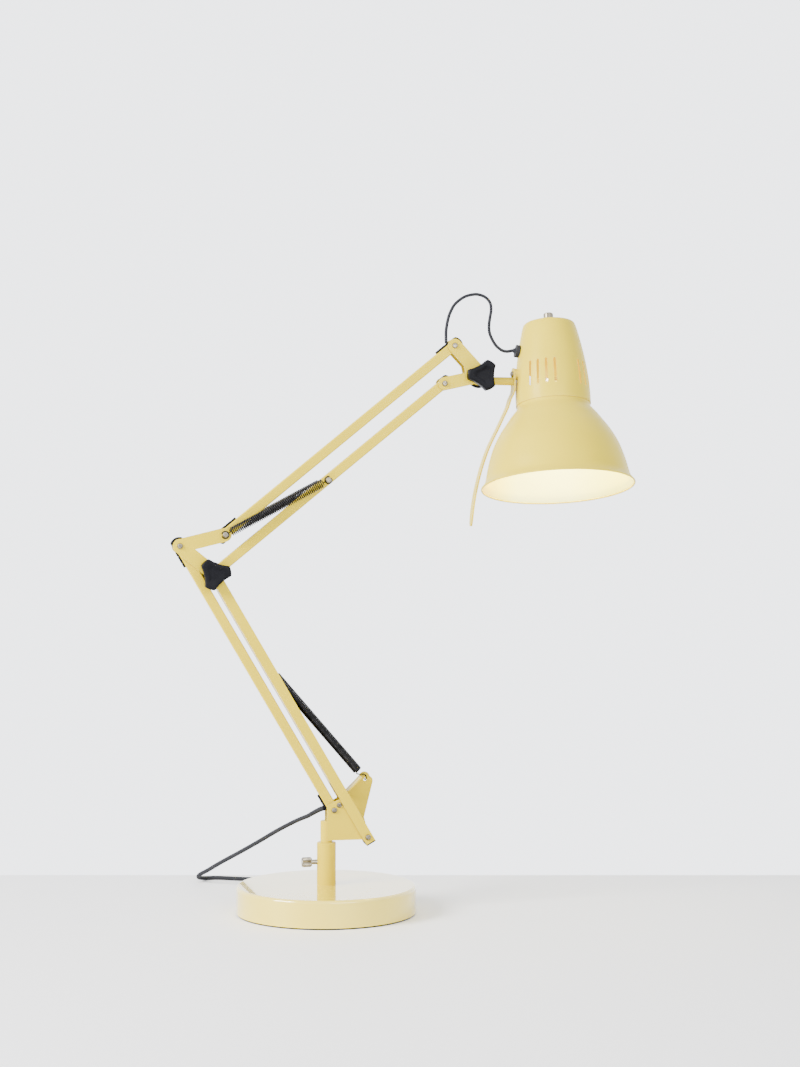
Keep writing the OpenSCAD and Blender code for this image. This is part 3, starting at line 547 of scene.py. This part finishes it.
LOOKS = (
    (base_paint, ("base_shell",)),
    (shade_paint, ("shade_cap",)),
    (
        paint,
        (
            "post_collar", "post_spigot", "bracket_front", "bracket_rear", "lower_tube",
            "link_channel", "elbow_plate_front", "elbow_plate_rear", "upper_tube", "under_tube",
            "head_plate_front", "head_plate_rear", "head_rod", "aim_handle",
        ),
    ),
    (
        nickel,
        (
            "thumb_screw", "plug_pins", "bracket_screw", "lower_pins", "spring_anchor",
            "elbow_pins", "elbow_bolt", "spring_posts", "head_pins", "head_bolt",
            "shade_pivot_bolt", "top_nipple", "top_nut",
        ),
    ),
    (
        black_plastic,
        (
            "mains_plug", "bracket_washers", "lower_tube_caps", "lower_lead_strips",
            "link_end_cap", "elbow_clamp_disc", "elbow_washers", "upper_tube_caps",
            "upper_lead_strips", "under_tube_caps", "head_clamp_disc", "head_washers",
        ),
    ),
    (iron, ("base_weight",)),
    (pad_rubber, ("base_pad",)),
    (rubber, ("lead_grommet",)),
    (cap_metal, ("bulb_base",)),
    (holder_material(), ("lampholder",)),
    (lit_material(), ("bulb_glass",)),
)


def assign(obj, mat):
    obj.data.materials.clear()
    obj.data.materials.append(mat)


for look, node_names in LOOKS:
    for node_name in node_names:
        assign(NODES[node_name], look)
for obj in bpy.data.objects:
    if obj.name.endswith("_live"):
        assign(obj, rubber)


# ---------------------------------------------------------------- shade

SHADE_AT = Vector((0.233, 0, 0.5413))
SHADE_ROLL = math.radians(-12)
SHADE_PLACE = Matrix.Translation(SHADE_AT) @ Matrix.Rotation(SHADE_ROLL, 4, "X")
SHADE_AXIS = (0, -math.sin(SHADE_ROLL), math.cos(SHADE_ROLL))

DOME_STEPS = 160
DOME_WALL = 0.8
DOME_NECK = [(37.4, -26), (37.4, -31)]
DOME_LINE = [
    (37.4, -36), (39.4, -38.8), (45, -45.6), (49.6, -52.2), (55.4, -60.5), (60.3, -69),
    (64.5, -78), (67.9, -88), (70.6, -98), (72.8, -108), (74.4, -112.4), (77.9, -117.2),
]
BEAD_AT = (77.1, -117.4)
BEAD_R = 0.9
# The bead's first angle and its step, in degrees.
BEAD_START = 50
BEAD_STEP = -25
BEAD_POINTS = 13
# The lining starts this many points before the bead ends.
BEAD_LINED = 3
INWARD_BELOW = -0.3


def faces_inwards(tree, centre, axis):
    """1 where the surface looks towards a line, 0 where it looks away from it."""
    coords = tree.nodes.new("ShaderNodeTexCoord")
    arm = vector_maths(tree, "SUBTRACT", coords.outputs["Object"], centre)
    along = vector_maths(tree, "DOT_PRODUCT", arm, axis, output="Value")
    lengthways = vector_maths(tree, "MULTIPLY", along, axis)
    radial = vector_maths(tree, "SUBTRACT", arm, lengthways)
    unit = vector_maths(tree, "NORMALIZE", radial)
    dot = vector_maths(tree, "DOT_PRODUCT", unit, coords.outputs["Normal"], output="Value")
    return maths(tree, "LESS_THAN", dot, INWARD_BELOW)


def line_shade_cap_painted_glow():
    """Outside enamel mixed, by the side of the wall seen, with a lining painted to glow amber as
    if lit by the bulb.
    """
    tree = shade_paint.node_tree
    lining = tree.nodes.new("ShaderNodeBsdfPrincipled")
    cloud = noise(tree, 35, detail=4)
    # Painted glow: a dark amber base and orange emission stand in for the bulb's light on the
    # inside of the cap.
    look = {
        "Base Color": ramp(tree, cloud, [(0.3, (0.40, 0.24, 0.01)), (0.7, (0.46, 0.28, 0.01))]),
        "Roughness": 0.45,
        "Emission Color": (1.0, 0.62, 0.0),
        "Emission Strength": 1.0,
    }
    set_inputs(tree, lining, look)
    mix = tree.nodes.new("ShaderNodeMixShader")
    tree.links.new(faces_inwards(tree, SHADE_AT, SHADE_AXIS), mix.inputs[0])
    tree.links.new(tree.nodes["Principled BSDF"].outputs[0], mix.inputs[1])
    tree.links.new(lining.outputs[0], mix.inputs[2])
    output = next(n for n in tree.nodes if n.type == "OUTPUT_MATERIAL")
    tree.links.new(mix.outputs[0], output.inputs["Surface"])


def dome_lines():
    """Outside of the wall, rolled bead and inside of the wall, as points (radius, height)."""
    neck, curve = ([Vector((r, z, 0)) for r, z in line] for line in (DOME_NECK, DOME_LINE))
    outer = neck + spline(curve, 5)
    inner = []
    last = len(outer) - 1
    for k, p in enumerate(outer):
        run = outer[min(k + 1, last)] - outer[max(k - 1, 0)]
        inner.append(p + DOME_WALL * Vector((run.y, -run.x, 0)).normalized())
    bead = []
    for k in range(BEAD_POINTS):
        angle = math.radians(BEAD_START + BEAD_STEP * k)
        spot = Vector((math.cos(angle), math.sin(angle), 0))
        bead.append(Vector((*BEAD_AT, 0)) + BEAD_R * spot)
    inner.reverse()
    return outer[:-1], bead, inner[1:]


line_shade_cap_painted_glow()
outer_line, bead_line, inner_line = dome_lines()
outline = [(p.x * MM, p.y * MM) for p in outer_line + bead_line + inner_line]
dome = turned_section("shade_dome_live", outline, SHADE_PLACE, DOME_STEPS)
# Outside faces take the enamel, inside faces the lining with painted glow and painted shade.
for look in (dome_paint, inner_enamel()):
    dome.data.materials.append(look)
lined_from = len(outer_line) + len(bead_line) - BEAD_LINED
lined_to = len(outline) - 1
for face in dome.data.polygons:
    row = face.index % len(outline)
    face.material_index = 1 if lined_from <= row < lined_to else 0
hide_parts("shade_dome")
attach(dome, "shade")


# ---------------------------------------------------------------- soft edges

EDGE_WIDTH = 0.28 * MM
EDGE_ANGLE = math.radians(35)
EDGED = (
    "post_collar", "post_spigot", "bracket_front", "bracket_rear", "lower_tube",
    "link_channel", "elbow_plate_front", "elbow_plate_rear", "upper_tube", "under_tube",
    "head_plate_front", "head_plate_rear", "head_rod", "aim_handle", "mains_plug",
    "lower_tube_caps", "upper_tube_caps", "under_tube_caps", "lower_lead_strips",
    "upper_lead_strips", "link_end_cap", "elbow_clamp_disc", "head_clamp_disc", "thumb_screw",
)
for node_name in EDGED:
    soft = NODES[node_name].modifiers.new("soft_edge", "BEVEL")
    soft.width = EDGE_WIDTH
    soft.segments = 2
    soft.limit_method = "ANGLE"
    soft.angle_limit = EDGE_ANGLE
    soft.harden_normals = True


# ---------------------------------------------------------------- springs

WIRE_R = 0.0006
WIRE_SIDES = 8
SPRING_R = 0.0047 - WIRE_R
TURN_STEPS = 14
# Turns over which the wire widens from a pin to the full coil.
WIDEN_TURNS = 0.75
OPEN_PITCH = 0.0019
CLOSE_PITCH = 0.00127

UPPER_EYE_R = 0.0036
UPPER_SHANK = 0.0022
UPPER_Y = 12.2
ELBOW_TOP = Vector((-102.486, 0, 377.563)) * MM
SPRING_POST = Vector((0.219, 0, 432.162)) * MM

LOWER_EYE_R = 0.0024
LOWER_SHANK = (4.6, 7.5, 10.4)
LOWER_TURNS_FROM = 0.013
LOWER_TURNS_SHORT = 0.0125
LINK_ANCHOR = Vector((-59.919, 0, 247.994)) * MM
EAR = Vector((40.2, 0, 131.5)) * MM
# The hook through the ear: along the spring, towards the back, and to its side.
EAR_HOOK = (
    (-11.5, 0.6, -2.6), (-9, 1.8, -1.4), (-6, 3.2, 1.6), (-3, 4.5, 3.0),
    (-0.7, 5.3, 2.2), (0.4, 6.3, 0.5), (0.4, 7.8, 0), (-1.4, 8.7, 0),
)


def spring_axes(start, end):
    """Along the spring, and the two directions across it."""
    axis = (end - start).normalized()
    lift = Vector((0, 1, 0))
    return axis, axis.cross(lift).normalized(), lift


def eye_loop(at, axes, towards, radius, first, sweep, steps):
    """Wire bent round a pin, sweep radians of it, ending at the angle first."""
    axis, side, _ = axes
    loop = []
    for k in range(steps + 1):
        angle = first + sweep * (1 - k / steps)
        across = side * radius * math.sin(angle)
        loop.append(at - towards * axis * radius * math.cos(angle) + across)
    return loop


def wound_turns(start, axes, reach, pitch, neck):
    """Turns between two distances from start, narrowed to the share neck at both ends."""
    axis, side, lift = axes
    first, last = reach
    count = int((last - first) / pitch) * TURN_STEPS
    widen = WIDEN_TURNS * TURN_STEPS
    path = []
    for k in range(count + 1):
        angle = 2 * math.pi * k / TURN_STEPS
        grow = min(1, k / widen, (count - k) / widen)
        radius = SPRING_R * (neck + (1 - neck) * grow)
        centre = start + axis * (first + (last - first) * k / count)
        path.append(centre + radius * (math.sin(angle) * side + math.cos(angle) * lift))
    return path


def upper_spring_path(start, end):
    """Eye, open turns and eye, as one wire between two pins."""
    axes = spring_axes(start, end)
    shape = UPPER_EYE_R, math.pi, 1.75 * math.pi, 22
    margin = UPPER_EYE_R + UPPER_SHANK
    reach = margin, (end - start).length - margin
    last_eye = eye_loop(end, axes, 1, *shape)
    last_eye.reverse()
    turns = wound_turns(start, axes, reach, OPEN_PITCH, 0.35)
    return eye_loop(start, axes, -1, *shape) + turns + last_eye


def lower_spring_path(start, end):
    """Eye, shank, close turns, and a hook that turns into the ear."""
    axes = spring_axes(start, end)
    axis, side, lift = axes
    path = eye_loop(start, axes, 1, LOWER_EYE_R, 0, 1.6 * math.pi, 18)
    path += [start + axis * d * MM for d in LOWER_SHANK]
    reach = LOWER_TURNS_FROM, (end - start).length - LOWER_TURNS_SHORT
    path += wound_turns(start, axes, reach, CLOSE_PITCH, 0.25)
    hook = [end + (axis * a + lift * b + side * c) * MM for a, b, c in EAR_HOOK]
    return path + spline([path[-1]] + hook, 4)[1:]


def blend_reaches(splits, shares):
    """Where each length's smooth blend starts and ends, so that neighbours meet at shares."""
    ways = [0, *splits, 1]
    # The smooth step's inverse.
    inner = [0.5 - math.sin(math.asin(1 - 2 * share) / 3) for share in shares]
    steps = [0, *inner, 1]
    reaches = []
    for k in range(len(ways) - 1):
        width = (ways[k + 1] - ways[k]) / (steps[k + 1] - steps[k])
        low = ways[k] - steps[k] * width
        reaches.append((low, low + width))
    return reaches


def live_spring(name, wire_path, ends, splits, shares):
    """Spring between two pins, as one tube for each length between the splits.

    splits are the parts of the way where the lengths meet. shares go into blend_reaches, and the
    reaches it gives are not used.
    """
    start, end = ends
    span = end - start
    level = span / span.length_squared
    cuts = [0]
    for split in splits:
        past = (k for k, p in enumerate(wire_path) if (p - start).dot(level) >= split)
        cuts.append(next(past))
    cuts.append(len(wire_path) - 1)
    for k, (low, high) in enumerate(blend_reaches(splits, shares)):
        piece_path = wire_path[cuts[k] : cuts[k + 1] + 1]
        wire = tube(f"{name}_wire_{k + 1}", piece_path, lambda t: WIRE_R, WIRE_SIDES)
        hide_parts(name)
        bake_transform(wire)
        assign(wire, spring_steel)


for name, y in (("upper_spring_front", -UPPER_Y), ("upper_spring_rear", UPPER_Y)):
    shift = Vector((0, y * MM, 0))
    live_spring(
        name,
        upper_spring_path(ELBOW_TOP + shift, SPRING_POST + shift),
        (ELBOW_TOP, SPRING_POST),
        splits=(0.1, 0.25, 0.5),
        shares=(0.46, 0.72, 0.885),
    )
live_spring(
    "lower_spring",
    lower_spring_path(LINK_ANCHOR, EAR),
    (LINK_ANCHOR, EAR),
    splits=(0.75, 0.9),
    shares=(0.45, 0.715),
)


# ---------------------------------------------------------------- knobs

KNOB_R = 16.0
KNOB_WAIST = 10.6
KNOB_H = 10.0
CORNER_R = 0.97 * KNOB_R
CORNER_TURN = math.radians(40)
TIP_STEP = 3.52
TIP_STEPS = 5
HOLLOW_STEPS = 10
HOLLOW_SHARE = 0.94
# Scale of the outline, and depth from the knob's back face.
KNOB_RINGS = (
    (0.60, 0.0), (0.93, 0.0), (0.975, 0.25), (1.0, 0.9), (1.0, KNOB_H - 2.6),
    (0.988, KNOB_H - 1.5), (0.955, KNOB_H - 0.65), (0.90, KNOB_H - 0.2), (0.82, KNOB_H),
    (0.55, KNOB_H), (0.52, KNOB_H - 0.25), (0.30, KNOB_H - 0.3), (0.02, KNOB_H - 0.3),
)


def knob_outline(turn):
    """Three round tips with hollows between them, as (x, z) points about the bolt."""
    corner_x = CORNER_R * math.cos(CORNER_TURN)
    corner_y = CORNER_R * math.sin(CORNER_TURN)
    centre = (corner_x**2 + corner_y**2 - KNOB_WAIST**2) / (2 * (corner_x - KNOB_WAIST))
    radius = centre - KNOB_WAIST
    sweep = HOLLOW_SHARE * math.asin(corner_y / radius)
    line = []
    for lobe in range(3):
        base = turn + 120 * lobe
        for k in range(-TIP_STEPS, TIP_STEPS + 1):
            a = math.radians(base + k * TIP_STEP)
            line.append((KNOB_R * math.cos(a), KNOB_R * math.sin(a)))
        a = math.radians(base + 60)
        for k in range(-HOLLOW_STEPS, HOLLOW_STEPS + 1):
            b = sweep * k / HOLLOW_STEPS
            x, y = centre - radius * math.cos(b), radius * math.sin(b)
            line.append((x * math.cos(a) - y * math.sin(a), x * math.sin(a) + y * math.cos(a)))
    return line


def lobed_knob(name, bolt, turn, back_y):
    line = knob_outline(turn)
    n = len(line)
    last = len(KNOB_RINGS) - 1
    verts = []
    faces = []
    for scale, depth in KNOB_RINGS:
        for x, z in line:
            spot = (bolt[0] + scale * x, back_y - depth, bolt[1] + scale * z)
            verts.append(Vector(spot) * MM)
    for i in range(last):
        for k in range(n):
            m = (k + 1) % n
            faces.append((i * n + k, i * n + m, (i + 1) * n + m, (i + 1) * n + k))
    faces.append(tuple(last * n + k for k in range(n)))
    knob = add_mesh(name, verts, faces)
    assign(knob, knob_plastic)
    return knob


for name, bolt, turn, back_y in (
    ("elbow_knob", (-112.988, 339.174), 11, -10.7),
    ("head_knob", (158.204, 538.828), 58, -7.6),
):
    knob = lobed_knob(name + "_live", bolt, turn, back_y)
    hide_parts(name)
    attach(knob, name)


# ---------------------------------------------------------------- floor

FLOOR_NEAR = -1
FLOOR_END = 2.2
FLOOR_HALF = 4

forward = Vector((-math.sin(CAMERA_HEADING), math.cos(CAMERA_HEADING), 0))
across = Vector((forward.y, -forward.x, 0))
stand = Vector((CAMERA_AT[0], CAMERA_AT[1], 0))
corners = []
for depth, wide in (
    (FLOOR_NEAR, -FLOOR_HALF),
    (FLOOR_NEAR, FLOOR_HALF),
    (FLOOR_END, FLOOR_HALF),
    (FLOOR_END, -FLOOR_HALF),
):
    corners.append(stand + forward * depth + across * wide)
floor = add_mesh("floor", corners, [(0, 1, 2, 3)])
floor_mat, floor_tree, floor_shader = new_material("pale_floor")
floor_tone = ramp(
    floor_tree, noise(floor_tree, 2), [(0.3, (0.95, 0.95, 0.97)), (0.7, (0.97, 0.97, 0.99))]
)
set_inputs(floor_tree, floor_shader, {"Base Color": floor_tone, "Roughness": 0.6})
assign(floor, floor_mat)


# ---------------------------------------------------------------- light

SKY_COLOUR = (0.84, 0.86, 0.90)
SKY_LIGHT = 1.1
SKY_SEEN = 4.2
LIT_POINT = Vector((0, 0, 0.3))
# Name, place, size, power and colour of each lamp of the studio.
STUDIO = (
    ("key", (-2.3, -0.9, 1.5), (1.2, 1.2), 230, (1.0, 0.98, 0.95)),
    ("fill", (0.6, -2.6, 1.2), (1.6, 1.2), 60, (0.96, 0.98, 1.0)),
)
BULB_AT = (0.233, -0.0195, 0.452)
BULB_POWER = 1.1
BULB_COLOUR = (1.0, 0.92, 0.48)
BULB_R = 0.03


def studio_sky():
    """Even sky, brighter for the camera and in reflections than as a light."""
    world = bpy.data.worlds.new("studio")
    bpy.context.scene.world = world
    world.use_nodes = True
    tree = world.node_tree
    seen = tree.nodes.new("ShaderNodeLightPath").outputs
    either = maths(tree, "MAXIMUM", seen["Is Camera Ray"], seen["Is Glossy Ray"])
    level = tree.nodes.new("ShaderNodeMapRange")
    set_inputs(tree, level, {"To Min": SKY_LIGHT, "To Max": SKY_SEEN, "Value": either})
    sky = {"Color": SKY_COLOUR, "Strength": level.outputs["Result"]}
    set_inputs(tree, tree.nodes["Background"], sky)


def add_light(name, kind, at, power, colour):
    data = bpy.data.lights.new(name, kind)
    data.energy = power
    data.color = colour
    light = add_object(name, data)
    light.location = at
    return light


studio_sky()
for name, at, size, power, colour in STUDIO:
    light = add_light(name, "AREA", at, power, colour)
    light.data.shape = "RECTANGLE"
    light.data.size, light.data.size_y = size
    light.rotation_euler = (LIT_POINT - Vector(at)).to_track_quat("-Z", "Y").to_euler()
bulb = add_light("bulb_glow", "POINT", BULB_AT, BULB_POWER, BULB_COLOUR)
bulb.data.shadow_soft_size = BULB_R
